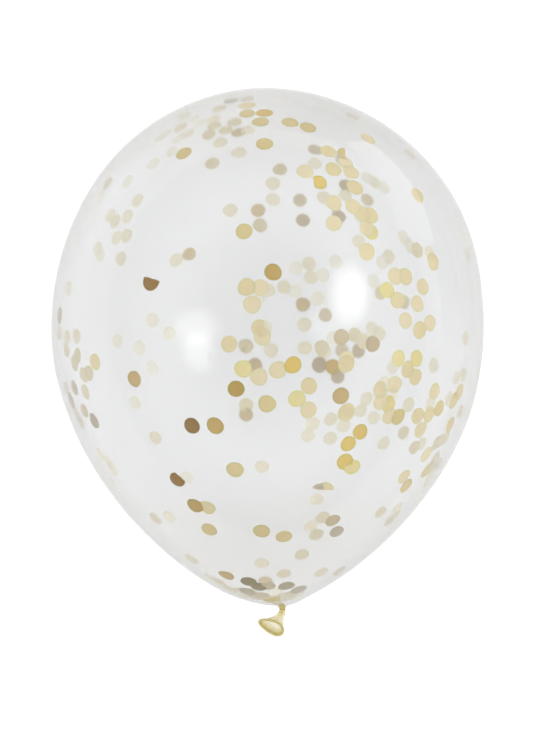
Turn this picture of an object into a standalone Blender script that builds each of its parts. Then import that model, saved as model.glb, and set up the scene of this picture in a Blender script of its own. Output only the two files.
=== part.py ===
"""Clear latex party balloon, blown up, twisted shut at the neck and lying on its side.

Metres, Z up. The crown points to +Y and the neck to -Y, and the balloon rests on a
small flat spot under its girth. The origin is under the middle of the whole length.
"""

import math

import bmesh
import bpy
from mathutils import Vector

# Envelope
GIRTH_DIAMETER = 0.280
CROWN_TO_GIRTH = 0.1554
GIRTH_TO_BASE = 0.1788
REST_FLAT_WIDTH = 0.040

# Fullness of the envelope's outline: how far each curve keeps its first direction,
# as a share of the girth radius or of the length of that half
CROWN_FULLNESS = 0.434
SHOULDER_FULLNESS = 0.696
FLANK_FULLNESS = 0.566
BASE_FULLNESS = 0.238

# The crown's thick spot and the neck both sit a little off the envelope's axis
CROWN_OFFSET = -0.0018
CROWN_OFFSET_REACH = 0.100
NECK_OFFSET = 0.0096
NECK_OFFSET_REACH = 0.034

# Neck, twisted shut just under the base
NECK_DIAMETER = 0.0035
NECK_FILLET = 0.0014
NECK_TO_TWIST = 0.0029

# Mouth: the open end beyond the twist, with its lip rolled outwards into a bead
MOUTH_SIDEWAYS = -0.0067
MOUTH_DROP = 0.0140
MOUTH_RISE = 0.0042
LIP_LENGTH = 0.0179
LIP_WIDTH = 0.0128
LIP_BEAD_DIAMETER = 0.0018
LIP_TRIANGLE = 0.0005
MOUTH_WALL = 0.0005
MOUTH_HOLLOW_START = 0.0040
MOUTH_HOLLOW_TIP = 0.0008

# Which way the mouth faces, in degrees: its heading in plan, its rise above level,
# and how far the lip's long way is turned about that direction
MOUTH_HEADING = 235.0
MOUTH_ELEVATION = 45.0
LIP_TURN = 18.0
LIP_CORNER = 58.7

# Length of the straight start and end of each line down the mouth's wall
MOUTH_NECK_EASE = 0.0065
MOUTH_LIP_EASE = 0.0035
MOUTH_FLARE = 40.0

# Facets
SIDES = 60
CROWN_RINGS = 20
BASE_RINGS = 22
FILLET_RINGS = 3
MOUTH_RINGS = 9
BEAD_RINGS = 7

LATEX_COLOUR = (0.90, 0.90, 0.87, 1.0)
LATEX_ROUGHNESS = 0.10
LATEX_METALLIC = 0.0
LATEX_CLEARNESS = 0.9

GIRTH_RADIUS = GIRTH_DIAMETER / 2
NECK_RADIUS = NECK_DIAMETER / 2
BEAD_RADIUS = LIP_BEAD_DIAMETER / 2
BASE_RADIUS = NECK_RADIUS + NECK_FILLET
BASE_DEPTH = CROWN_TO_GIRTH + GIRTH_TO_BASE
REST_LEVEL = -math.sqrt(GIRTH_RADIUS**2 - (REST_FLAT_WIDTH / 2) ** 2)


def clear_scene():
    for obj in list(bpy.data.objects):
        bpy.data.objects.remove(obj)


def cubic(start, after_start, before_end, end, share):
    """Point at a share of the way along a cubic curve."""
    rest = 1 - share
    return (
        start * rest**3
        + after_start * (3 * rest**2 * share)
        + before_end * (3 * rest * share**2)
        + end * share**3
    )


def axis_offset(radius, offset, reach):
    """Sideways shift of a ring near one pole, fading out at the reach."""
    return offset * max(0.0, 1 - radius / reach) ** 2


def around(side):
    return 2 * math.pi * side / SIDES


def level_ring(depth, radius, sideways):
    """Ring of points square to the axis, at a depth below the crown."""
    return [
        Vector(
            (
                sideways + radius * math.cos(around(side)),
                -depth,
                radius * math.sin(around(side)),
            )
        )
        for side in range(SIDES)
    ]


def crown_outline():
    """(depth, radius) from just below the crown to the girth."""
    crown = Vector((0, 0))
    crown_handle = Vector((0, CROWN_FULLNESS * GIRTH_RADIUS))
    girth_handle = Vector((CROWN_TO_GIRTH * (1 - SHOULDER_FULLNESS), GIRTH_RADIUS))
    girth = Vector((CROWN_TO_GIRTH, GIRTH_RADIUS))
    return [
        cubic(crown, crown_handle, girth_handle, girth, ring / CROWN_RINGS)
        for ring in range(1, CROWN_RINGS + 1)
    ]


def base_outline():
    """(depth, radius) from below the girth to where the base meets the neck's fillet."""
    girth = Vector((CROWN_TO_GIRTH, GIRTH_RADIUS))
    girth_handle = Vector((CROWN_TO_GIRTH + FLANK_FULLNESS * GIRTH_TO_BASE, GIRTH_RADIUS))
    base_handle = Vector((BASE_DEPTH, BASE_RADIUS + BASE_FULLNESS * GIRTH_RADIUS))
    base = Vector((BASE_DEPTH, BASE_RADIUS))
    return [
        cubic(girth, girth_handle, base_handle, base, ring / BASE_RINGS)
        for ring in range(1, BASE_RINGS + 1)
    ]


def fillet_outline():
    """(depth, radius) round the hollow corner between the base and the neck."""
    turns = [math.pi / 2 * ring / FILLET_RINGS for ring in range(1, FILLET_RINGS + 1)]
    return [
        Vector(
            (
                BASE_DEPTH + NECK_FILLET * (1 - math.cos(turn)),
                BASE_RADIUS - NECK_FILLET * math.sin(turn),
            )
        )
        for turn in turns
    ]


def envelope_rings():
    rings = []
    for depth, radius in crown_outline():
        sideways = axis_offset(radius, CROWN_OFFSET, CROWN_OFFSET_REACH)
        rings.append(level_ring(depth, radius, sideways))
    for depth, radius in base_outline() + fillet_outline():
        sideways = axis_offset(radius, NECK_OFFSET, NECK_OFFSET_REACH)
        rings.append(level_ring(depth, radius, sideways))
    return rings


def mouth_directions():
    """Where the mouth faces, and the lip's long and short ways square to it."""
    heading = math.radians(MOUTH_HEADING)
    elevation = math.radians(MOUTH_ELEVATION)
    turn = math.radians(LIP_TURN)
    facing = Vector(
        (
            math.cos(elevation) * math.cos(heading),
            math.cos(elevation) * math.sin(heading),
            math.sin(elevation),
        )
    )
    level = Vector((-math.sin(heading), math.cos(heading), 0))
    upward = facing.cross(level)
    long_way = level * math.cos(turn) + upward * math.sin(turn)
    return facing, long_way, facing.cross(long_way)


class Mouth:
    """The flared end beyond the twist."""

    def __init__(self):
        self.facing, self.long_way, self.short_way = mouth_directions()
        neck_sideways = axis_offset(NECK_RADIUS, NECK_OFFSET, NECK_OFFSET_REACH)
        self.base = Vector((neck_sideways, -BASE_DEPTH, 0))
        self.centre = self.base + Vector((MOUTH_SIDEWAYS, -MOUTH_DROP, MOUTH_RISE))

    def lip_shape(self, angle):
        """Place on the middle line of the bead, from the mouth's centre.

        It is an oval drawn out into three soft corners.
        """
        corner_angle = 3 * math.radians(LIP_CORNER) - 2 * angle
        along = math.cos(angle) * (LIP_LENGTH / 2 - BEAD_RADIUS)
        across = math.sin(angle) * (LIP_WIDTH / 2 - BEAD_RADIUS)
        along += math.cos(corner_angle) * LIP_TRIANGLE
        across += math.sin(corner_angle) * LIP_TRIANGLE
        return self.long_way * along + self.short_way * across

    def bead_point(self, side, turn):
        """Point on the bead; turn 0 is its outer side and 90 degrees its front."""
        spoke = self.lip_shape(around(side))
        outward = spoke.normalized()
        rolled = outward * math.cos(turn) + self.facing * math.sin(turn)
        return self.centre + spoke + rolled * BEAD_RADIUS

    def wall_point(self, side, share, start_depth, start_radius, end_turn):
        """Point on a line down the mouth's wall, from the neck to the bead."""
        angle = around(side)
        spoke = Vector((math.cos(angle), 0, math.sin(angle)))
        start = self.base + Vector((0, -start_depth, 0)) + spoke * start_radius
        end = self.bead_point(side, end_turn)
        flare = math.radians(MOUTH_FLARE)
        outward = self.lip_shape(angle).normalized()
        arriving = self.facing * math.cos(flare) + outward * math.sin(flare)
        after_start = start + Vector((0, -MOUTH_NECK_EASE, 0))
        return cubic(start, after_start, end - arriving * MOUTH_LIP_EASE, end, share)

    def ring(self, point, *place):
        return [point(side, *place) for side in range(SIDES)]

    def rings(self):
        """Down the outside, round the bead and back up the hollow."""
        inner_turn = math.pi
        outer_turn = -math.acos(MOUTH_WALL / BEAD_RADIUS - 1)
        found = []
        for step in range(MOUTH_RINGS):
            place = (step / MOUTH_RINGS, NECK_TO_TWIST, NECK_RADIUS, outer_turn)
            found.append(self.ring(self.wall_point, *place))
        for step in range(BEAD_RINGS + 1):
            turn = outer_turn + (inner_turn - outer_turn) * step / BEAD_RINGS
            found.append(self.ring(self.bead_point, turn))
        for step in range(MOUTH_RINGS - 1, -1, -1):
            place = (step / MOUTH_RINGS, MOUTH_HOLLOW_START, MOUTH_HOLLOW_TIP / 2, inner_turn)
            found.append(self.ring(self.wall_point, *place))
        return found


def skin_mesh(rings, crown, hollow_end):
    """One closed skin over the rings, with a point at either end."""
    shape = bmesh.new()
    loops = [[shape.verts.new(point) for point in ring] for ring in rings]
    first = shape.verts.new(crown)
    last = shape.verts.new(hollow_end)
    for side in range(SIDES):
        after = (side + 1) % SIDES
        shape.faces.new((first, loops[0][after], loops[0][side]))
        shape.faces.new((last, loops[-1][side], loops[-1][after]))
        for upper, lower in zip(loops, loops[1:]):
            shape.faces.new((upper[side], upper[after], lower[after], lower[side]))
    bmesh.ops.recalc_face_normals(shape, faces=shape.faces)
    return shape


def cut_rest_flat(shape):
    """Takes off what lies under the rest level and closes the cut with a flat face."""
    geometry = shape.verts[:] + shape.edges[:] + shape.faces[:]
    cut = bmesh.ops.bisect_plane(
        shape,
        geom=geometry,
        plane_co=(0, 0, REST_LEVEL),
        plane_no=(0, 0, -1),
        clear_outer=True,
    )
    rim = [item for item in cut["geom_cut"] if isinstance(item, bmesh.types.BMEdge)]
    bmesh.ops.edgeloop_fill(shape, edges=rim)
    bmesh.ops.recalc_face_normals(shape, faces=shape.faces)


def set_on_origin(shape):
    """Moves the balloon so that the origin is under the middle of its box."""
    lows = [min(vert.co[axis] for vert in shape.verts) for axis in range(3)]
    highs = [max(vert.co[axis] for vert in shape.verts) for axis in range(3)]
    middle = Vector(((lows[0] + highs[0]) / 2, (lows[1] + highs[1]) / 2, lows[2]))
    bmesh.ops.translate(shape, vec=-middle, verts=shape.verts)


def latex_material():
    material = bpy.data.materials.new("latex")
    material.use_nodes = True
    shader = material.node_tree.nodes["Principled BSDF"]
    shader.inputs["Base Color"].default_value = LATEX_COLOUR
    shader.inputs["Roughness"].default_value = LATEX_ROUGHNESS
    shader.inputs["Metallic"].default_value = LATEX_METALLIC
    shader.inputs["Transmission Weight"].default_value = LATEX_CLEARNESS
    return material


def add_balloon():
    mouth = Mouth()
    hollow_end = mouth.base + Vector((0, -MOUTH_HOLLOW_START, 0))
    crown = Vector((CROWN_OFFSET, 0, 0))
    shape = skin_mesh(envelope_rings() + mouth.rings(), crown, hollow_end)
    cut_rest_flat(shape)
    set_on_origin(shape)
    mesh = bpy.data.meshes.new("balloon")
    shape.to_mesh(mesh)
    shape.free()
    mesh.materials.append(latex_material())
    mesh.shade_smooth()
    mesh.set_sharp_from_angle(angle=math.radians(35))
    balloon = bpy.data.objects.new("balloon", mesh)
    bpy.context.scene.collection.objects.link(balloon)


clear_scene()
add_balloon()
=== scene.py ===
"""Clear confetti balloon lying on its side: latex skin, neck and mouth, and the foil inside.

Metres and degrees, in the row's frame: +Y from the neck to the crown, +Z up. A value with
PIXEL in its name, and the places of the flakes, are in the photograph's pixels.
"""

import math
import random

import bmesh
import bpy
import numpy as np
from mathutils import Matrix, Vector


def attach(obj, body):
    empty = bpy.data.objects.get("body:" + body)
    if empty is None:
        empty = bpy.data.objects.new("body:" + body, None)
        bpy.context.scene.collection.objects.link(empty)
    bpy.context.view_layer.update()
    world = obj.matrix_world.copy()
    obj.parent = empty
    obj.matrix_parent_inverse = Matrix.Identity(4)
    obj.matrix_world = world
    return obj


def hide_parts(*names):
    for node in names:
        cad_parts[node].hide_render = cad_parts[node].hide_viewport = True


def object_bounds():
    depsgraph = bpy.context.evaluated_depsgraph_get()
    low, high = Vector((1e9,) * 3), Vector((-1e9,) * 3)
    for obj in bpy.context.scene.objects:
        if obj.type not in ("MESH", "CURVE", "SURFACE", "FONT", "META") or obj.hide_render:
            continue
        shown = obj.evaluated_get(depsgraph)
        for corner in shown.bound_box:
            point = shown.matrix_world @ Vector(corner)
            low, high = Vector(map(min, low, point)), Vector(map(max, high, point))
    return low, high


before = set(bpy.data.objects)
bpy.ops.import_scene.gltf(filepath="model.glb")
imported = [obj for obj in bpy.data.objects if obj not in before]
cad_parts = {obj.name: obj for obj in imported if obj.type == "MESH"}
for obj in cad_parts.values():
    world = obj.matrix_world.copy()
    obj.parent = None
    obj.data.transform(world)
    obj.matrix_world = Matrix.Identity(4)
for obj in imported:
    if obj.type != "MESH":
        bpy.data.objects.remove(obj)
CAD_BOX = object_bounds()
SEED = 7

# Envelope, from the frame and with the fullness of its outline
GIRTH_RADIUS = (CAD_BOX[1].x - CAD_BOX[0].x) / 2
CROWN_Y = CAD_BOX[1].y
AXIS_HEIGHT = CAD_BOX[1].z - GIRTH_RADIUS
CROWN_TO_GIRTH = 0.1554
GIRTH_TO_BASE = 0.1790
CROWN_FULLNESS = 0.434
SHOULDER_FULLNESS = 0.696
FLANK_FULLNESS = 0.590
BASE_FULLNESS = 0.222
BASE_DEPTH = CROWN_TO_GIRTH + GIRTH_TO_BASE

# The envelope isn't quite straight: how far its rings sit to one side
CROWN_OFFSET = -0.0018
CROWN_OFFSET_REACH = 0.100
SHOULDER_LEAN = 0.0013
FLANK_LEAN = 0.0009
FLANK_LEAN_START = 0.175
FLANK_LEAN_FULL = 0.220
NECK_OFFSET = 0.0096
NECK_OFFSET_REACH = 0.034

# Neck and mouth
NECK_RADIUS = 0.0019
NECK_FILLET = 0.0027
NECK_TO_TWIST = 0.0029
MOUTH_SIDEWAYS = -0.0069
MOUTH_DROP = 0.0141
MOUTH_RISE = 0.0042
LIP_LENGTH = 0.0184
LIP_WIDTH = 0.0131
BEAD_RADIUS = 0.00085
LIP_TRIANGLE = 0.0005
LIP_CORNER = 58.7
LIP_TURN = 18.0
MOUTH_HEADING = 235.0
MOUTH_ELEVATION = 45.0
MOUTH_NECK_EASE = 0.0046
MOUTH_LIP_EASE = 0.0048
MOUTH_FLARE = 27.0
MOUTH_WALL = 0.0004
MOUTH_HOLLOW_START = 0.0040
MOUTH_HOLLOW_TIP = 0.0004

# Skin
SKIN_THICKNESS = 0.00012
NECK_SKIN_THICKNESS = 0.0003
NECK_THICKENING = 12
SKIN_SIDES = 180
CROWN_RINGS = 48
BASE_RINGS = 60
FILLET_RINGS = 5
MOUTH_RINGS = 22
BEAD_RINGS = 12
FLOOR_GAP = 0.0003

# How the skin gathers towards the neck
BASE_DIP = 0.0006
BASE_DIP_REACH = 0.022
GATHERS = 13
GATHER_DEPTH = 0.00012
GATHER_REACH = 0.016
PLEATS = 7
PLEAT_DEPTH = 0.00014
PLEAT_TWIST = 2.4
PLEAT_START = 0.12
PLEAT_FADE = 1.5

# How thick the skin stays: 0 at the girth, 1 where it is solid amber
CLOUDY_SHARE = 0.2
SLACK_SHARE = 0.6
GATHERED_SHARE = 0.5
CLOUDY_CROWN = (0.060, 0.015)
CLOUDY_BASE = (0.235, 0.315)
AMBER_REACH = 0.008
FUNNEL_CLEARING = 0.5
HOLLOW_CLEARING = 0.85
HOLLOW_EASE = 0.6

# Looks of the skin; each noise is a scale and a detail
CLEAR_FILM = ((0.848, 0.850, 0.853, 1), (0.868, 0.870, 0.873, 1))
CLOUDY_FILM = (0.825, 0.823, 0.815, 1)
EDGE_FILM = (0.55, 0.55, 0.53, 1)
EDGE_FACING = (0.56, 0.92)
EDGE_SHARE = 0.71
SLACK_FILM = (0.89, 0.81, 0.54, 1)
AMBER = ((0.66, 0.55, 0.21, 1), (0.71, 0.65, 0.30, 1))
FILM_CLEARNESS = 0.985
AMBER_CLEARNESS = 0.35
FILM_ROUGHNESS = (0.04, 0.07)
AMBER_ROUGHNESS = 0.22
SKIN_IOR = 1.36
CLOUD_NOISE = (14.0, 4.0)
CREASE_NOISE = (260.0, 3.0)
CREASE_RANGE = (0.35, 0.65)
SPECK_NOISE = (3000.0, 0.0)

# Photograph's frame, in its pixels, and how the balloon sits in it
PHOTO_WIDTH = 550
PHOTO_HEIGHT = 735
PIXELS_PER_METRE = 1544.2
CROWN_PIXEL = (266.4, 88.2)
PHOTO_LEAN = 0.005
CAMERA_DISTANCE = 2.3
SENSOR_MM = 36.0

# Search along a ray for where it meets the envelope
FIELD_CROWN_RINGS = 200
FIELD_BASE_RINGS = 260
SLOPE_STEP = 0.0004
SEARCH_REACH = 0.16
SEARCH_STEPS = 81
HALVINGS = 24

# Confetti
FLAKE_RADIUS = 0.0053
FLAKE_THICKNESS = 0.00005
FLAKE_GAP = 0.00012
FLAKE_LAYER = 0.00012
FLAKE_SIDES = 24
FLAKE_SPREADS = (0.4, 0.72, 0.9, 1.0)
FLAKE_SIZES = (0.97, 1.05)
FLAKE_CURL = 0.05
FLAKE_OVAL = 0.05
FLAKE_NICKS = 0.035
FOLD_RISE = 0.03
NO_CREASE = 2.0
SHARP_ANGLE = 40

# Looks of the foil; each noise is a scale and a detail
GRAIN_RANGE = (0.3, 0.7)
GRAIN_SHADE = 0.25
FOIL_ROUGHNESS = (0.35, 0.55)
FOIL_METALLIC = 0.1
FOIL_GLOSS = 0.2
GRAIN_NOISE = (700.0, 3.0)
DENT_NOISE = (900.0, 2.0)
DENT_STRENGTH = 0.25
DENT_DEPTH = 0.0001
RIM_REACH = (0.3, 0.95)
RIM_TINT = (-0.10, 0.04, -0.10)
# Darker in a thin band round each flake's edge
EDGE_BAND_REACH = (0.8, 1.0)
EDGE_BAND_TINT = (-0.20, -0.14, -0.26)
# Painted shade where two flakes overlap, standing in for the backlight that two layers of foil hold
# back
LAPPED_SHADE_COLOUR = (0.80, 0.78, 0.74, 1)
LAPPED_SHADE_SHARE = 0.25

# Light
ROOM_LOW = 0.8
ROOM_HIGH = 1.35
ROOM_RISE = (0.05, 0.5)
DIM_DIRECTION = (0.0, -0.12, 1.0)
DIM_RANGE = (0.55, 1.0)
DIM_SHARE = 0.45
BOUNCES = 24
FLOOR_GLOW = 0.95
FLOOR_TONES = ((0.15, 0.15, 0.15, 1), (0.17, 0.17, 0.17, 1))
FLOOR_NOISE = (60.0, 4.0)
FLOOR_ROUGHNESS = 0.9
FLOOR_SIZE = 12
FLAG_REACH = (0.24, 0.50, 0.90, 1.10)
FLAG_SHARE = (0.0, 1.0, 1.0, 0.0)
FLAG_TURN = (-10, 100)
FLAG_END_FADE = 4
FLAG_GLOW = 0.35
FLAG_SIDES = 25
LAMP_PIXEL = (350, 292.5)
LAMP_REACH = (0.228, 0.228)
LAMP_STRENGTH = 6.2
FILL_PIXEL = (194.5, 329)
FILL_REACH = (0.28, 0.165)
FILL_STRENGTH = 3.5
SOFTBOX_DISTANCE = 1.0
SOFTBOX_SIDES = 32
SOFTBOX_FADE = ((0.45, 1.0), (0.7, 0.7), (0.9, 0.3), (1.1, 0.0))
WINDOW_FOOT_PIXELS = ((370, 142), (434, 243))
WINDOW_TOP_PIXELS = ((345, 143), (399, 237))
WINDOW_GLOW = (1.0, 1.0, 0.85, 0.85)
WINDOW_STRENGTH = 1.42


def cubic(start, after_start, before_end, end, share):
    """Point at a share of the way along a cubic curve."""
    rest = 1 - share
    return (
        start * rest**3
        + after_start * (3 * rest**2 * share)
        + before_end * (3 * rest * share**2)
        + end * share**3
    )


def smooth(share):
    share = min(max(share, 0.0), 1.0)
    return share * share * (3 - 2 * share)


def axis_offset(depth, radius):
    """Sideways shift of a ring."""
    if depth < CROWN_TO_GIRTH:
        crown = CROWN_OFFSET * max(0.0, 1 - radius / CROWN_OFFSET_REACH) ** 2
        return crown + SHOULDER_LEAN * math.sin(math.pi * max(depth, 0.0) / CROWN_TO_GIRTH) ** 2
    flank = smooth((depth - FLANK_LEAN_START) / (FLANK_LEAN_FULL - FLANK_LEAN_START))
    flank *= min(1.0, 2 * radius / NECK_OFFSET_REACH)
    return FLANK_LEAN * flank + NECK_OFFSET * max(0.0, 1 - radius / NECK_OFFSET_REACH) ** 2


def crown_outline(rings):
    """(depth, radius) from below the crown to the girth."""
    corners = (
        Vector((0, 0)),
        Vector((0, CROWN_FULLNESS * GIRTH_RADIUS)),
        Vector((CROWN_TO_GIRTH * (1 - SHOULDER_FULLNESS), GIRTH_RADIUS)),
        Vector((CROWN_TO_GIRTH, GIRTH_RADIUS)),
    )
    return [cubic(*corners, ring / rings) for ring in range(1, rings + 1)]


def base_outline(rings):
    """(depth, radius) from below the girth to the neck's fillet."""
    base_radius = NECK_RADIUS + NECK_FILLET
    corners = (
        Vector((CROWN_TO_GIRTH, GIRTH_RADIUS)),
        Vector((CROWN_TO_GIRTH + FLANK_FULLNESS * GIRTH_TO_BASE, GIRTH_RADIUS)),
        Vector((BASE_DEPTH, base_radius + BASE_FULLNESS * GIRTH_RADIUS)),
        Vector((BASE_DEPTH, base_radius)),
    )
    return [cubic(*corners, ring / rings) for ring in range(1, rings + 1)]


def fillet_outline():
    turns = [math.pi / 2 * ring / FILLET_RINGS for ring in range(1, FILLET_RINGS + 1)]
    return [
        Vector(
            (
                BASE_DEPTH + NECK_FILLET * (1 - math.cos(turn)),
                NECK_RADIUS + NECK_FILLET * (1 - math.sin(turn)),
            )
        )
        for turn in turns
    ]


# Camera at the photograph's angle: straight down on the lying balloon


def photo_centre():
    """Where the middle of the photograph meets the level of the balloon's axis."""
    below_crown = PHOTO_HEIGHT / 2 - CROWN_PIXEL[1]
    axis_pixel = CROWN_PIXEL[0] + PHOTO_LEAN * below_crown
    sideways = (PHOTO_WIDTH / 2 - axis_pixel) / PIXELS_PER_METRE
    return Vector((sideways, CROWN_Y - below_crown / PIXELS_PER_METRE, AXIS_HEIGHT))


CAMERA_PLACE = photo_centre() + Vector((0, 0, CAMERA_DISTANCE))


def photo_ray(pixel):
    """Direction from the camera through a pixel of the photograph."""
    right = (pixel[0] - PHOTO_WIDTH / 2) / PIXELS_PER_METRE
    up = (PHOTO_HEIGHT / 2 - pixel[1]) / PIXELS_PER_METRE
    turn = Matrix.Rotation(-PHOTO_LEAN, 3, "Z")
    return (turn @ Vector((right, up, -CAMERA_DISTANCE))).normalized()


def add_camera():
    data = bpy.data.cameras.new("camera")
    data.sensor_width = SENSOR_MM
    data.lens = SENSOR_MM * CAMERA_DISTANCE * PIXELS_PER_METRE / PHOTO_HEIGHT
    camera = bpy.data.objects.new("camera", data)
    camera.location = CAMERA_PLACE
    camera.rotation_euler = (0, 0, -PHOTO_LEAN)
    bpy.context.scene.collection.objects.link(camera)
    bpy.context.scene.camera = camera


# Shape of the envelope as a field, for what clings to its inner face

OUTLINE = np.array(
    [(0, 0)] + [tuple(p) for p in crown_outline(FIELD_CROWN_RINGS) + base_outline(FIELD_BASE_RINGS)]
)


def outline_radius(depth):
    return float(np.interp(depth, OUTLINE[:, 0], OUTLINE[:, 1]))


def outside_by(point):
    """How far a point is outside the envelope or below the rest level."""
    depth = CROWN_Y - point.y
    radius = outline_radius(depth)
    reach = math.hypot(point.x - axis_offset(depth, radius), point.z - AXIS_HEIGHT)
    return max(reach - radius, -depth, -point.z)


def outward_at(point):
    """Unit direction square to the envelope."""
    slopes = []
    for axis in range(3):
        offset = Vector((0, 0, 0))
        offset[axis] = SLOPE_STEP
        slopes.append(outside_by(point + offset) - outside_by(point - offset))
    return Vector(slopes).normalized()


def kept_inside(point, depth):
    """The point, or where it comes through the skin, the place at least so deep inside."""
    sunk = outside_by(point) + depth
    return point - outward_at(point) * sunk if sunk > 0 else point


def wall_places(pixel):
    """Near and far places where the ray through a pixel meets the envelope."""
    ray = photo_ray(pixel)
    steps = np.linspace(CAMERA_DISTANCE - SEARCH_REACH, CAMERA_DISTANCE + SEARCH_REACH, SEARCH_STEPS)
    inside = [outside_by(CAMERA_PLACE + ray * float(reach)) < 0 for reach in steps]
    first = inside.index(True)
    last = len(inside) - 1 - inside[::-1].index(True)
    return {
        "near": crossing(ray, float(steps[first - 1]), float(steps[first])),
        "far": crossing(ray, float(steps[last + 1]), float(steps[last])),
    }


def crossing(ray, outer, inner):
    """Where a ray meets the envelope, between a reach outside and one inside."""
    for _ in range(HALVINGS):
        middle = (outer + inner) / 2
        if outside_by(CAMERA_PLACE + ray * middle) < 0:
            inner = middle
        else:
            outer = middle
    return CAMERA_PLACE + ray * inner


# Skin of the balloon


def level_ring(depth, radius, sideways, rest=0.0):
    """Ring square to the axis; what would sink below the rest level is flattened."""
    dip = BASE_DIP * max(0.0, 1 - radius / BASE_DIP_REACH) if depth > CROWN_TO_GIRTH else 0.0
    spread = min(1.0, radius / GATHER_REACH) if depth > CROWN_TO_GIRTH else 1.0
    gather = GATHER_DEPTH * 4 * spread * (1 - spread)
    ring = []
    for side in range(SKIN_SIDES):
        angle = 2 * math.pi * side / SKIN_SIDES
        reach = radius + gather * math.cos(GATHERS * angle)
        height = AXIS_HEIGHT + reach * math.sin(angle)
        across = sideways + reach * math.cos(angle)
        ring.append(Vector((across, CROWN_Y - depth - dip, max(height, rest))))
    return ring


def envelope_outline():
    """(depth, radius, sideways) of every ring from the crown to the fillet's end."""
    outline = crown_outline(CROWN_RINGS) + base_outline(BASE_RINGS) + fillet_outline()
    return [(depth, radius, axis_offset(depth, radius)) for depth, radius in outline]


def thick_share(depth, radius):
    """How thick the skin stays: cloudy at the crown and base, amber where it is gathered."""
    start, end = CLOUDY_CROWN if depth < CROWN_TO_GIRTH else CLOUDY_BASE
    cloudy = CLOUDY_SHARE * smooth((depth - start) / (end - start))
    if depth < CROWN_TO_GIRTH:
        return cloudy
    return max(cloudy, 1 - (radius - NECK_RADIUS) / AMBER_REACH)


def skin_thickness(depth):
    """The skin is blown thin and stays thick near the neck."""
    share = max(0.0, (depth - CROWN_TO_GIRTH) / GIRTH_TO_BASE) ** NECK_THICKENING
    return SKIN_THICKNESS + (NECK_SKIN_THICKNESS - SKIN_THICKNESS) * share


def outer_rings():
    """Rings of the outer face, each with its share of thickness."""
    return [
        (level_ring(depth, radius, sideways), thick_share(depth, radius))
        for depth, radius, sideways in envelope_outline()
    ]


def inner_rings():
    """The inner face, a skin's thickness in, ending in the solid twist."""
    outline = crown_outline(CROWN_RINGS) + base_outline(BASE_RINGS)
    rows = []
    for place, (depth, radius) in enumerate(outline):
        before = outline[max(place - 1, 0)]
        after = outline[min(place + 1, len(outline) - 1)]
        along = (after - before).normalized()
        inward = Vector((along.y, -along.x))
        moved = Vector((depth, radius)) + inward * skin_thickness(depth)
        sideways = axis_offset(depth, radius)
        ring = level_ring(moved.x, moved.y, sideways, rest=SKIN_THICKNESS)
        rows.append((ring, thick_share(depth, radius)))
    return rows


class Mouth:
    """The flared end beyond the twist."""

    def __init__(self):
        heading = math.radians(MOUTH_HEADING)
        elevation = math.radians(MOUTH_ELEVATION)
        turn = math.radians(LIP_TURN)
        self.facing = Vector(
            (
                math.cos(elevation) * math.cos(heading),
                math.cos(elevation) * math.sin(heading),
                math.sin(elevation),
            )
        )
        level = Vector((-math.sin(heading), math.cos(heading), 0))
        upward = self.facing.cross(level)
        self.long_way = level * math.cos(turn) + upward * math.sin(turn)
        self.short_way = self.facing.cross(self.long_way)
        sideways = axis_offset(BASE_DEPTH, NECK_RADIUS)
        self.base = Vector((sideways, CROWN_Y - BASE_DEPTH, AXIS_HEIGHT))
        self.centre = self.base + Vector((MOUTH_SIDEWAYS, -MOUTH_DROP, MOUTH_RISE))

    def lip_shape(self, angle):
        corner_angle = 3 * math.radians(LIP_CORNER) - 2 * angle
        along = math.cos(angle) * (LIP_LENGTH / 2 - BEAD_RADIUS)
        across = math.sin(angle) * (LIP_WIDTH / 2 - BEAD_RADIUS)
        along += math.cos(corner_angle) * LIP_TRIANGLE
        across += math.sin(corner_angle) * LIP_TRIANGLE
        return self.long_way * along + self.short_way * across

    def bead_point(self, angle, turn):
        spoke = self.lip_shape(angle)
        outward = spoke.normalized()
        rolled = outward * math.cos(turn) + self.facing * math.sin(turn)
        return self.centre + spoke + rolled * BEAD_RADIUS

    def wall_point(self, angle, share, start_depth, start_radius, end_turn):
        spoke = Vector((math.cos(angle), 0, math.sin(angle)))
        start = self.base + Vector((0, -start_depth, 0)) + spoke * start_radius
        end = self.bead_point(angle, end_turn)
        flare = math.radians(MOUTH_FLARE)
        outward = self.lip_shape(angle).normalized()
        arriving = self.facing * math.cos(flare) + outward * math.sin(flare)
        after_start = start + Vector((0, -MOUTH_NECK_EASE, 0))
        point = cubic(start, after_start, end - arriving * MOUTH_LIP_EASE, end, share)
        pleat = math.cos(PLEATS * angle + PLEAT_TWIST * share) * (1 - share) ** PLEAT_FADE
        pleat *= smooth(share / PLEAT_START)
        return point + spoke * (PLEAT_DEPTH * pleat * start_radius / NECK_RADIUS)

    def ring(self, point, *place):
        angles = [2 * math.pi * side / SKIN_SIDES for side in range(SKIN_SIDES)]
        return [point(angle, *place) for angle in angles]

    def rings(self):
        """Rings from the twist over the rolled lip and back inside, with their thickness."""
        inner_turn = math.pi
        outer_turn = -math.acos(MOUTH_WALL / BEAD_RADIUS - 1)
        found = []
        for step in range(MOUTH_RINGS):
            share = step / MOUTH_RINGS
            place = (share, NECK_TO_TWIST, NECK_RADIUS, outer_turn)
            thick = 1 - FUNNEL_CLEARING * math.sin(math.pi * share)
            found.append((self.ring(self.wall_point, *place), thick))
        for step in range(BEAD_RINGS + 1):
            turn = outer_turn + (inner_turn - outer_turn) * step / BEAD_RINGS
            found.append((self.ring(self.bead_point, turn), 1.0))
        for step in range(MOUTH_RINGS - 1, -1, -1):
            share = step / MOUTH_RINGS
            place = (share, MOUTH_HOLLOW_START, MOUTH_HOLLOW_TIP, inner_turn)
            thick = 1 - HOLLOW_CLEARING * math.sin(math.pi * share) ** HOLLOW_EASE
            found.append((self.ring(self.wall_point, *place), thick))
        return found


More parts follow.
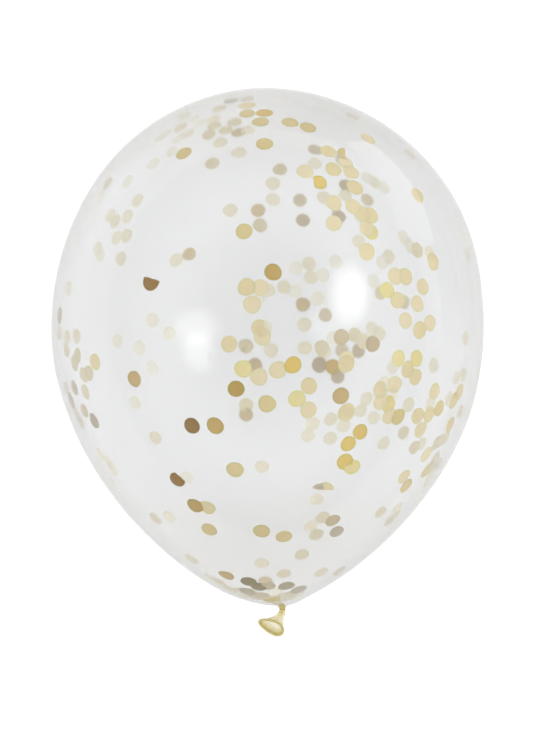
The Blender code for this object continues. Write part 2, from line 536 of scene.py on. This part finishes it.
def add_shell(shape, rings, start, end, inward=False):
    """One closed shell over the rings, with a point at either end."""
    thick = shape.verts.layers.float["thick"]
    loops = []
    for points, share in rings:
        loop = [shape.verts.new(point) for point in points]
        for corner in loop:
            corner[thick] = share
        loops.append(loop)
    first = shape.verts.new(start)
    last = shape.verts.new(end)
    first[thick] = rings[0][1]
    last[thick] = rings[-1][1]
    faces = []
    for side in range(SKIN_SIDES):
        after = (side + 1) % SKIN_SIDES
        faces.append((first, loops[0][after], loops[0][side]))
        faces.append((last, loops[-1][side], loops[-1][after]))
        for upper, lower in zip(loops, loops[1:]):
            faces.append((upper[side], upper[after], lower[after], lower[side]))
    for corners in faces:
        shape.faces.new(corners[::-1] if inward else corners)


def add_skin():
    mouth = Mouth()
    shape = bmesh.new()
    shape.verts.layers.float.new("thick")
    crown = Vector((CROWN_OFFSET, CROWN_Y, AXIS_HEIGHT))
    hollow_end = mouth.base + Vector((0, -MOUTH_HOLLOW_START, 0))
    add_shell(shape, outer_rings() + mouth.rings(), crown, hollow_end)
    inner_crown = crown - Vector((0, SKIN_THICKNESS, 0))
    inner_base = mouth.base + Vector((0, -NECK_SKIN_THICKNESS, 0))
    add_shell(shape, inner_rings(), inner_crown, inner_base, inward=True)
    mesh = bpy.data.meshes.new("latex_skin")
    shape.to_mesh(mesh)
    shape.free()
    mesh.shade_smooth()
    mesh.materials.append(latex_material())
    skin = bpy.data.objects.new("latex_skin", mesh)
    bpy.context.scene.collection.objects.link(skin)
    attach(skin, "root")
    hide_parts("balloon")


# Materials


class Nodes:
    """The few kinds of node that the materials and the room are made from."""

    def __init__(self, tree):
        self.nodes = tree.nodes
        self.links = tree.links

    def feed(self, socket, value):
        if isinstance(value, bpy.types.NodeSocket):
            self.links.new(value, socket)
        else:
            socket.default_value = value

    def coordinate(self, kind):
        return self.nodes.new("ShaderNodeTexCoord").outputs[kind]

    def attribute(self, name):
        node = self.nodes.new("ShaderNodeAttribute")
        node.attribute_name = name
        return node.outputs["Fac"]

    def facing(self):
        return self.nodes.new("ShaderNodeLayerWeight").outputs["Facing"]

    def height(self, direction):
        node = self.nodes.new("ShaderNodeSeparateXYZ")
        self.feed(node.inputs["Vector"], direction)
        return node.outputs["Z"]

    def along(self, direction, other):
        node = self.nodes.new("ShaderNodeVectorMath")
        node.operation = "DOT_PRODUCT"
        self.feed(node.inputs[0], direction)
        self.feed(node.inputs[1], other)
        return node.outputs["Value"]

    def mapped(self, value, low, high, to_low=0.0, to_high=1.0, kind="LINEAR"):
        node = self.nodes.new("ShaderNodeMapRange")
        node.interpolation_type = kind
        self.feed(node.inputs["Value"], value)
        self.feed(node.inputs["From Min"], low)
        self.feed(node.inputs["From Max"], high)
        self.feed(node.inputs["To Min"], to_low)
        self.feed(node.inputs["To Max"], to_high)
        return node.outputs["Result"]

    def combined(self, operation, first, second):
        node = self.nodes.new("ShaderNodeMath")
        node.operation = operation
        self.feed(node.inputs[0], first)
        self.feed(node.inputs[1], second)
        return node.outputs["Value"]

    def blend(self, share, first, second, mode="MIX"):
        node = self.nodes.new("ShaderNodeMix")
        node.data_type = "RGBA"
        node.blend_type = mode
        self.feed(node.inputs["Factor"], share)
        self.feed(node.inputs["A"], first)
        self.feed(node.inputs["B"], second)
        return node.outputs["Result"]


class Surface(Nodes):
    """A node material round one shader."""

    def __init__(self, name):
        self.material = bpy.data.materials.new(name)
        self.material.use_nodes = True
        super().__init__(self.material.node_tree)
        self.shader = self.nodes["Principled BSDF"]
        self.place = self.coordinate("Object")

    def set(self, **values):
        for name, value in values.items():
            self.feed(self.shader.inputs[name.replace("_", " ")], value)

    def noise(self, scale, detail=2.0):
        node = self.nodes.new("ShaderNodeTexNoise")
        node.inputs["Scale"].default_value = scale
        node.inputs["Detail"].default_value = detail
        self.links.new(self.place, node.inputs["Vector"])
        return node.outputs["Fac"]

    def bump(self, height, strength, distance):
        node = self.nodes.new("ShaderNodeBump")
        node.inputs["Strength"].default_value = strength
        node.inputs["Distance"].default_value = distance
        self.links.new(height, node.inputs["Height"])
        self.links.new(node.outputs["Normal"], self.shader.inputs["Normal"])


def latex_material():
    """Clear skin with a faint cloudiness, amber and milky where it is thick."""
    skin = Surface("latex")
    clouds = skin.noise(*CLOUD_NOISE)
    film = skin.blend(clouds, *CLEAR_FILM)
    thick = skin.attribute("thick")
    cloudy = skin.mapped(thick, 0.0, CLOUDY_SHARE)
    film = skin.blend(cloudy, film, CLOUDY_FILM)
    grazing = skin.mapped(skin.facing(), *EDGE_FACING, 0.0, EDGE_SHARE)
    film = skin.blend(grazing, film, EDGE_FILM)
    slack = skin.mapped(thick, CLOUDY_SHARE, SLACK_SHARE)
    film = skin.blend(slack, film, SLACK_FILM)
    creases = skin.mapped(skin.noise(*CREASE_NOISE), *CREASE_RANGE)
    amber = skin.blend(creases, *AMBER)
    gathered = skin.mapped(thick, GATHERED_SHARE, 1.0)
    specks = skin.noise(*SPECK_NOISE)
    fine = skin.mapped(specks, 0.0, 1.0, *FILM_ROUGHNESS)
    skin.set(
        Base_Color=skin.blend(gathered, film, amber),
        Transmission_Weight=skin.mapped(gathered, 0.0, 1.0, FILM_CLEARNESS, AMBER_CLEARNESS),
        Roughness=skin.mapped(gathered, 0.0, 1.0, fine, AMBER_ROUGHNESS),
        IOR=SKIN_IOR,
    )
    return skin.material


def foil_material(name, light, dark):
    """Satin foil: greener towards its rim, darker in a thin band round its edge, and with painted
    shade where two flakes overlap.
    """
    foil = Surface(name)
    grain = foil.noise(*GRAIN_NOISE)
    shift = foil.mapped(grain, *GRAIN_RANGE, -GRAIN_SHADE, GRAIN_SHADE)
    shade = foil.combined("ADD", foil.attribute("shade"), shift)
    colour = foil.blend(shade, (*dark, 1), (*light, 1))
    warmth = 1 - light[2] / light[0]
    rim = foil.attribute("rim")
    for reach, tint in ((RIM_REACH, RIM_TINT), (EDGE_BAND_REACH, EDGE_BAND_TINT)):
        shade_of_rim = (*(1 + change * warmth for change in tint), 1)
        colour = foil.blend(foil.mapped(rim, *reach), colour, shade_of_rim, "MULTIPLY")
    # Painted shade: the colour is multiplied darker where two flakes overlap
    lapped_shade = foil.mapped(foil.attribute("lapped_shade"), 0.0, 1.0, 0.0, LAPPED_SHADE_SHARE)
    colour = foil.blend(lapped_shade, colour, LAPPED_SHADE_COLOUR, "MULTIPLY")
    foil.set(
        Base_Color=colour,
        Metallic=FOIL_METALLIC,
        Specular_IOR_Level=FOIL_GLOSS,
        Roughness=foil.mapped(grain, *GRAIN_RANGE, *FOIL_ROUGHNESS),
    )
    foil.bump(foil.noise(*DENT_NOISE), DENT_STRENGTH, DENT_DEPTH)
    return foil.material


# Confetti: each tone of foil as its light and its dark colour

TONES = {
    "umber": ((0.28, 0.20, 0.02), (0.20, 0.13, 0.00)),
    "olive": ((0.47, 0.40, 0.24), (0.38, 0.32, 0.17)),
    "brown": ((0.42, 0.22, 0.03), (0.34, 0.17, 0.01)),
    "bronze": ((0.67, 0.45, 0.14), (0.58, 0.37, 0.08)),
    "old_gold": ((0.77, 0.55, 0.28), (0.67, 0.47, 0.21)),
    "deep_gold": ((0.91, 0.67, 0.20), (0.81, 0.54, 0.14)),
    "gold": ((0.86, 0.70, 0.37), (0.78, 0.61, 0.28)),
    "champagne": ((0.94, 0.81, 0.56), (0.88, 0.74, 0.43)),
    "straw": ((0.95, 0.82, 0.43), (0.89, 0.75, 0.30)),
    "slate": ((0.57, 0.48, 0.36), (0.49, 0.40, 0.29)),
    "pewter": ((0.63, 0.53, 0.40), (0.54, 0.45, 0.33)),
    "silver": ((0.76, 0.66, 0.52), (0.62, 0.53, 0.40)),
    "tan": ((0.75, 0.61, 0.42), (0.64, 0.51, 0.33)),
    "sand": ((0.85, 0.76, 0.57), (0.74, 0.65, 0.47)),
    # pale and faint are lightened copies of the golds, used mostly on the far side as painted haze
    "pale": ((0.96, 0.90, 0.75), (0.89, 0.82, 0.66)),
    "faint": ((0.98, 0.96, 0.86), (0.95, 0.91, 0.79)),
}
SMALLER_TONES = {"pewter": 0.9, "silver": 0.9, "tan": 0.92, "sand": 0.92, "pale": 0.92, "faint": 0.92}

# Flakes on the near side, read from the photograph, in its pixels. Where two overlap, the
# one that comes first lies against the skin.
NEAR_FLAKES = {
    "umber": [(248.5, 582), (258.5, 587.5)],
    "olive": [(286.5, 586.5), (247.5, 592)],
    "brown": [(191.8, 426)],
    "bronze": [(236, 389), (195, 506), (226, 576), (273, 272), (215, 426)],
    "old_gold": [(341, 396), (134, 379)],
    "deep_gold": [(293, 365), (264.5, 112.5), (360.5, 432), (348.5, 444), (345, 462)],
    "slate": [(93.5, 421), (59, 315), (299, 590), (71, 401)],
    "pewter": [(74, 388), (337, 532)],
    "gold": [
        (261.5, 531.5), (450.5, 425), (398.5, 417), (260.5, 121.5), (264.5, 143.5), (290, 122),
        (308, 127), (267, 404), (244, 231), (235, 470), (247, 113), (439.5, 408.5), (460, 392),
        (427, 471), (284, 537), (454.5, 401), (209, 530), (183.5, 153), (406.5, 486),
    ],
    "tan": [(341.5, 337), (333, 521), (373, 344), (84, 411), (262, 596), (255, 598), (268, 587)],
    "sand": [
        (88.5, 373), (83, 375), (441, 441), (437, 444), (285, 596), (292, 594), (77, 355.5),
        (431, 476), (74, 363), (417.5, 250), (446, 438.5), (431, 468.5), (436.5, 458.5), (66, 350),
        (322, 348), (85, 392), (364, 341.5), (415, 447.5),
    ],
    "champagne": [
        (355.5, 187), (404.5, 477), (346.5, 364), (278, 370), (328.5, 151), (435, 391.5),
        (351.5, 172), (305, 171), (333.5, 169), (334, 203), (353.5, 206.5), (334, 223),
        (363.5, 213.5), (371, 215), (272, 599.5), (367.5, 228.5), (367, 251.5), (246.5, 287),
        (260, 287.5), (252, 304.5), (260, 328), (262.5, 337), (229, 344), (346, 163), (259, 377),
        (247, 105), (380.5, 390), (308.5, 410), (309, 386), (347, 411), (346, 414), (395.5, 276),
        (406, 276.5), (423.5, 286.5), (418, 303.5), (406, 320.5), (420, 330), (430.5, 323),
        (398, 300), (429.5, 415), (368.5, 138.5), (408, 369.5), (416, 377), (207, 508),
        (395, 384.5), (347, 359.5), (381, 402), (390, 416.5), (418.5, 416), (421, 430), (427, 455),
        (94.5, 362), (418, 195), (433.5, 261.5),
    ],
    "straw": [
        (243, 369), (417, 358.5), (371.5, 231.5), (352.5, 467.5), (399, 358.5), (389, 404),
        (297, 399), (387.5, 290),
    ],
    "pale": [(430, 253), (398, 508), (264, 328.5), (384, 384), (409, 405)],
    "faint": [(393, 395)],
}

# Flakes on the far side, seen through the whole balloon. Their tones are paler than those of the near
# flakes,
# partly as painted haze: the veil of light that the skin lays over them is painted into their colour.
FAR_FLAKES = {
    "slate": [(66, 389), (231, 100), (319.5, 365)],
    "pewter": [(303, 220), (358.5, 351), (339, 216), (338, 377), (80, 422)],
    "silver": [
        (300, 200), (346, 185), (75, 412), (342, 350), (342, 160), (315, 149), (241, 592),
        (252, 594), (325.5, 315), (247, 98),
    ],
    "old_gold": [(333, 367)],
    "tan": [
        (303, 304.5), (246, 415), (255, 365), (258, 210), (189, 254), (245, 598),
        (439, 464), (461, 412), (219, 583), (433, 470), (58.5, 333), (229, 590), (410, 153),
        (265.5, 582), (340, 572), (238, 132),
    ],
    "sand": [
        (260, 225), (212, 163), (234.5, 121.5), (246, 346), (316.5, 535), (323, 518),
        (107, 183), (225.5, 129.5), (208.5, 134), (214, 125), (367.5, 199.5), (381, 293),
        (404, 433), (246, 405), (219, 108), (404.5, 302), (66, 337), (76, 336), (321.5, 573),
        (302, 555), (390, 521), (396, 515), (155, 519), (191, 560), (428, 482), (464, 375),
        (264, 598), (283, 600), (290, 598), (297, 596), (272, 602), (210, 579), (183, 115),
        (180, 127), (280, 169), (108, 170), (355, 335), (469, 255), (381, 513), (284, 574.5),
        (242, 596), (353, 115.5),
    ],
    "pale": [
        (248, 129.5), (155, 438), (239, 152), (315, 163), (273, 183), (273, 199), (375, 182),
        (324, 197), (361, 216), (359, 241), (309, 263.5), (311, 277), (68, 288), (389.5, 256.5),
        (467, 238), (230, 210), (268, 290), (284, 287), (304.5, 324.5), (271, 350), (305, 348),
        (372, 328.5), (434, 365.5), (457.5, 378), (466, 338), (367, 399), (361, 411), (374, 418),
        (344, 426), (431, 404), (450, 399), (384, 443.5), (313, 424), (308, 436), (331, 419.5),
        (330.5, 438.5), (317, 500), (311, 527), (262, 564), (169, 517), (420, 497), (100, 455),
        (108, 462), (112, 470), (137, 200), (110, 215), (115, 221), (127, 216), (116, 237.5),
        (126, 235.5), (120.5, 258.5), (176, 260), (214, 118), (324, 352), (380, 333.5), (188, 133),
        (422, 444), (113, 484), (220, 142), (262, 467), (346, 195),
    ],
    "faint": [
        (384, 187), (411, 246), (374, 281), (368, 177.5), (160, 137), (165, 133), (178, 138),
        (192, 118), (172, 151), (153, 163), (336, 261.5), (404, 237), (187, 478), (127, 181),
        (100, 195), (117, 341), (139, 348), (169, 333), (296, 268), (393, 367), (200, 122),
        (323, 275), (383, 262), (296, 291), (317.5, 298.5), (97, 248), (100, 255), (275, 594),
        (334, 338), (258, 300), (152, 320), (151.5, 368), (135, 403),
    ],
}

# Creased flakes on the near side, laid against the skin before all others: place, bearing of the
# part that is folded under, how far from the middle the crease is, and size
CREASED_FLAKES = {
    "brown": [((151, 281), 72, 0.32, 1.15), ((177, 480), 48, 0.7, 1.03)],
    "deep_gold": [((319, 182), 188, 0.68, 1.0)],
    "gold": [((345.2, 153.5), 0, 0.1, 0.95)],
    "silver": [((318, 489), 262, 0.15, 0.8)],
    "champagne": [((325, 490.5), 268, 0.0, 1.05)],
}


class Flake:
    """One small foil disc that clings to the inner face of the skin."""

    def __init__(self, tone, wall, place, layer, chance, crease, size):
        self.tone = tone
        self.wall = wall
        self.layer = layer
        self.outward = outward_at(place)
        self.depth = skin_thickness(CROWN_Y - place.y) + FLAKE_GAP + FLAKE_LAYER * layer
        self.centre = place - self.outward * self.depth
        bearing, self.crease = crease
        bearing = math.radians(bearing)
        level = Vector((math.cos(bearing), math.sin(bearing), 0))
        self.across = (level - self.outward * level.dot(self.outward)).normalized()
        self.along = self.outward.cross(self.across)
        self.size = FLAKE_RADIUS * size * SMALLER_TONES.get(tone, 1.0) * chance.uniform(*FLAKE_SIZES)
        self.curl = abs(chance.gauss(0, FLAKE_CURL))
        self.shade = chance.uniform(0, 1)
        self.oval = chance.uniform(0, FLAKE_OVAL), chance.uniform(0, math.pi)
        self.nicks = chance.uniform(0, FLAKE_NICKS), chance.uniform(0, math.pi)

    def reach(self, angle):
        """The punched edge isn't quite round."""
        oval = 1 + self.oval[0] * math.cos(2 * angle + self.oval[1])
        return self.size * (oval + self.nicks[0] * math.cos(3 * angle + self.nicks[1]))

    def point(self, spread, angle, level):
        right = spread * math.cos(angle) * self.reach(angle)
        up = spread * math.sin(angle) * self.reach(angle)
        lift = (right**2 + up**2) / (2 * GIRTH_RADIUS) + self.curl * right**2 / self.size
        edge = self.crease * self.size
        if right > edge:
            lift += FLAKE_LAYER + FOLD_RISE * (right - edge)
            right = 2 * edge - right
        point = self.centre + self.across * right + self.along * up
        return kept_inside(point - self.outward * (lift + level), self.depth + level)


class Foil:
    """All flakes of one tone, fused into one piece."""

    def __init__(self, tone, flakes):
        self.tone = tone
        self.points = []
        self.faces = []
        self.shades = []
        self.rims = []
        self.lap_shades = []
        self.all_flakes = flakes
        for flake in flakes:
            if flake.tone == tone:
                self.add(flake)

    def add(self, flake):
        """Both faces of a flake, ring by ring, and its cut edge."""
        near = [
            other
            for other in self.all_flakes
            if other is not flake and (other.centre - flake.centre).length < 2 * FLAKE_RADIUS
        ]
        start = len(self.points)
        for level in (0.0, FLAKE_THICKNESS):
            self.add_point(flake, near, 0, 0, level)
            for spread in FLAKE_SPREADS:
                for side in range(FLAKE_SIDES):
                    angle = 2 * math.pi * side / FLAKE_SIDES
                    self.add_point(flake, near, spread, angle, level)
        count = 1 + len(FLAKE_SPREADS) * FLAKE_SIDES
        for middle, flip in ((start, False), (start + count, True)):
            for side in range(FLAKE_SIDES):
                after = (side + 1) % FLAKE_SIDES
                faces = [(middle, middle + 1 + side, middle + 1 + after)]
                for ring in range(len(FLAKE_SPREADS) - 1):
                    inner = middle + 1 + ring * FLAKE_SIDES
                    outer = inner + FLAKE_SIDES
                    faces.append((inner + side, outer + side, outer + after, inner + after))
                self.faces.extend(face[::-1] if flip else face for face in faces)
        upper = start + count - FLAKE_SIDES
        lower = upper + count
        for side in range(FLAKE_SIDES):
            after = (side + 1) % FLAKE_SIDES
            self.faces.append((upper + after, upper + side, lower + side, lower + after))

    def add_point(self, flake, near, spread, angle, level):
        point = flake.point(spread, angle, level)
        # Points that lie over or under another flake get the painted shade
        lapped_shade = any((other.centre - point).length < other.size for other in near)
        self.points.append(tuple(point))
        self.shades.append(flake.shade)
        self.rims.append(spread)
        self.lap_shades.append(float(lapped_shade))

    def build(self):
        mesh = bpy.data.meshes.new("confetti_" + self.tone)
        mesh.from_pydata(self.points, [], self.faces)
        for name, values in (("shade", self.shades), ("rim", self.rims), ("lapped_shade", self.lap_shades)):
            attribute = mesh.attributes.new(name, "FLOAT", "POINT")
            attribute.data.foreach_set("value", values)
        mesh.shade_smooth()
        mesh.set_sharp_from_angle(angle=math.radians(SHARP_ANGLE))
        mesh.materials.append(foil_material("foil_" + self.tone, *TONES[self.tone]))
        piece = bpy.data.objects.new("confetti_" + self.tone, mesh)
        bpy.context.scene.collection.objects.link(piece)
        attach(piece, "root")


def scattered_flakes():
    """Every flake, in the order in which they lie against the skin."""
    chance = random.Random(SEED)
    flat = (NEAR_FLAKES, "near"), (FAR_FLAKES, "far")
    spots = [
        (tone, wall, pixel, None, 1.0)
        for table, wall in flat
        for tone, pixels in table.items()
        for pixel in pixels
    ]
    creased = [
        (tone, "near", pixel, (bearing, share), size)
        for tone, entries in CREASED_FLAKES.items()
        for pixel, bearing, share, size in entries
    ]
    flakes = []
    for tone, wall, pixel, crease, size in creased + spots:
        place = wall_places(pixel)[wall]
        if crease is None:
            crease = (chance.uniform(0, 360), NO_CREASE)
        under = [
            other.layer
            for other in flakes
            if other.wall == wall and (other.centre - place).length < 2 * FLAKE_RADIUS
        ]
        layer = max(under) + 1 if under else 0
        flakes.append(Flake(tone, wall, place, layer, chance, crease, size))
    return flakes


def add_confetti():
    flakes = scattered_flakes()
    for tone in TONES:
        Foil(tone, flakes).build()


# Studio


def add_floor():
    """Pale table that glows evenly."""
    table = Surface("floor")
    weave = table.noise(*FLOOR_NOISE)
    table.set(
        Base_Color=table.blend(weave, *FLOOR_TONES),
        Roughness=FLOOR_ROUGHNESS,
        Specular_IOR_Level=0.0,
        Emission_Color=(1, 1, 1, 1),
        Emission_Strength=FLOOR_GLOW,
    )
    bpy.ops.mesh.primitive_plane_add(size=FLOOR_SIZE, location=(0, 0, -FLOOR_GAP))
    floor = bpy.context.object
    floor.name = "floor"
    floor.data.materials.append(table.material)


def glow_material(name, strength):
    """Light that fades to nothing where the card's glow does."""
    card = Surface(name)
    light = card.nodes.new("ShaderNodeEmission")
    light.inputs["Strength"].default_value = strength
    clear = card.nodes.new("ShaderNodeBsdfTransparent")
    blend = card.nodes.new("ShaderNodeMixShader")
    card.links.new(card.attribute("glow"), blend.inputs["Fac"])
    card.links.new(clear.outputs["BSDF"], blend.inputs[1])
    card.links.new(light.outputs["Emission"], blend.inputs[2])
    card.links.new(blend.outputs["Shader"], card.nodes["Material Output"].inputs["Surface"])
    return card.material


def add_card(name, points, faces, glow, strength):
    """A glowing card that the camera doesn't see."""
    mesh = bpy.data.meshes.new(name)
    mesh.from_pydata([tuple(point) for point in points], [], faces)
    attribute = mesh.attributes.new("glow", "FLOAT", "POINT")
    attribute.data.foreach_set("value", glow)
    mesh.materials.append(glow_material(name, strength))
    card = bpy.data.objects.new(name, mesh)
    bpy.context.scene.collection.objects.link(card)
    card.visible_camera = False
    card.visible_shadow = False
    return card


def grid_faces(rings, sides, closed):
    """Quads between rings of points, each ring of so many sides."""
    faces = []
    for ring in range(rings - 1):
        for side in range(sides if closed else sides - 1):
            after = (side + 1) % sides
            inner, outer = ring * sides, (ring + 1) * sides
            faces.append((inner + side, outer + side, outer + after, inner + after))
    return faces


def add_flag():
    """Dim mat on the floor below the window, which only the gloss of the skin reflects."""
    points, glow = [], []
    for reach, share in zip(FLAG_REACH, FLAG_SHARE):
        for side in range(FLAG_SIDES):
            part = side / (FLAG_SIDES - 1)
            turn = math.radians(FLAG_TURN[0] + (FLAG_TURN[1] - FLAG_TURN[0]) * part)
            points.append((reach * math.cos(turn), reach * math.sin(turn), FLOOR_GAP))
            glow.append(share * smooth(FLAG_END_FADE * min(part, 1 - part)))
    faces = grid_faces(len(FLAG_REACH), FLAG_SIDES, closed=False)
    flag = add_card("flag", points, faces, glow, FLAG_GLOW)
    flag.visible_diffuse = False
    flag.visible_transmission = False


def reflected_at(pixel):
    """Place on the near side behind a pixel, and where its reflection looks."""
    ray = photo_ray(pixel)
    place = wall_places(pixel)["near"]
    outward = outward_at(place)
    return place, ray - outward * (2 * ray.dot(outward))


def add_softbox(name, pixel, reach, strength):
    """Oval soft light whose reflection on the near side is at a pixel."""
    place, toward = reflected_at(pixel)
    middle = place + toward * SOFTBOX_DISTANCE
    across = Vector((0, 1, 0)).cross(toward).normalized()
    along = toward.cross(across)
    points, glow = [], []
    for spread, share in SOFTBOX_FADE:
        for side in range(SOFTBOX_SIDES):
            angle = 2 * math.pi * side / SOFTBOX_SIDES
            rim = across * (math.cos(angle) * reach[0]) + along * (math.sin(angle) * reach[1])
            points.append(middle + rim * spread)
            glow.append(share)
    faces = grid_faces(len(SOFTBOX_FADE), SOFTBOX_SIDES, closed=True)
    faces.append(tuple(range(SOFTBOX_SIDES)))
    add_card(name, points, faces, glow, strength)


def add_window():
    """Low upright panel beside the balloon, seen as the curved patch at its upper right."""
    feet = []
    for pixel in WINDOW_FOOT_PIXELS:
        place, toward = reflected_at(pixel)
        feet.append(place + toward * (-(place.z + FLOOR_GAP) / toward.z))
    run = (feet[1] - feet[0]).normalized()
    square = Vector((-run.y, run.x, 0))
    tops = []
    for pixel in WINDOW_TOP_PIXELS:
        place, toward = reflected_at(pixel)
        tops.append(place + toward * ((feet[0] - place).dot(square) / toward.dot(square)))
    add_card("window", feet + tops[::-1], [(0, 1, 2, 3)], WINDOW_GLOW, WINDOW_STRENGTH)


def add_world():
    """Pale room, dimmer overhead where the camera is and towards the floor."""
    world = bpy.data.worlds.new("world")
    world.use_nodes = True
    bpy.context.scene.world = world
    room = Nodes(world.node_tree)
    direction = room.coordinate("Generated")
    brightness = room.mapped(room.height(direction), *ROOM_RISE, ROOM_LOW, ROOM_HIGH)
    overhead = room.along(direction, Vector(DIM_DIRECTION).normalized())
    dimming = room.mapped(overhead, *DIM_RANGE, 1.0, DIM_SHARE, kind="SMOOTHSTEP")
    background = room.nodes["Background"]
    background.inputs["Color"].default_value = (1, 1, 1, 1)
    room.feed(background.inputs["Strength"], room.combined("MULTIPLY", brightness, dimming))


def set_look():
    view = bpy.context.scene.view_settings
    view.view_transform = "Standard"
    view.look = "None"
    view.exposure = 0
    view.gamma = 1
    bpy.context.scene.cycles.blur_glossy = 0.0
    bpy.context.scene.cycles.max_bounces = BOUNCES
    bpy.context.scene.cycles.transmission_bounces = BOUNCES


add_camera()
set_look()
add_floor()
add_world()
add_softbox("lamp", LAMP_PIXEL, LAMP_REACH, LAMP_STRENGTH)
add_softbox("fill", FILL_PIXEL, FILL_REACH, FILL_STRENGTH)
add_window()
add_flag()
add_skin()
add_confetti()
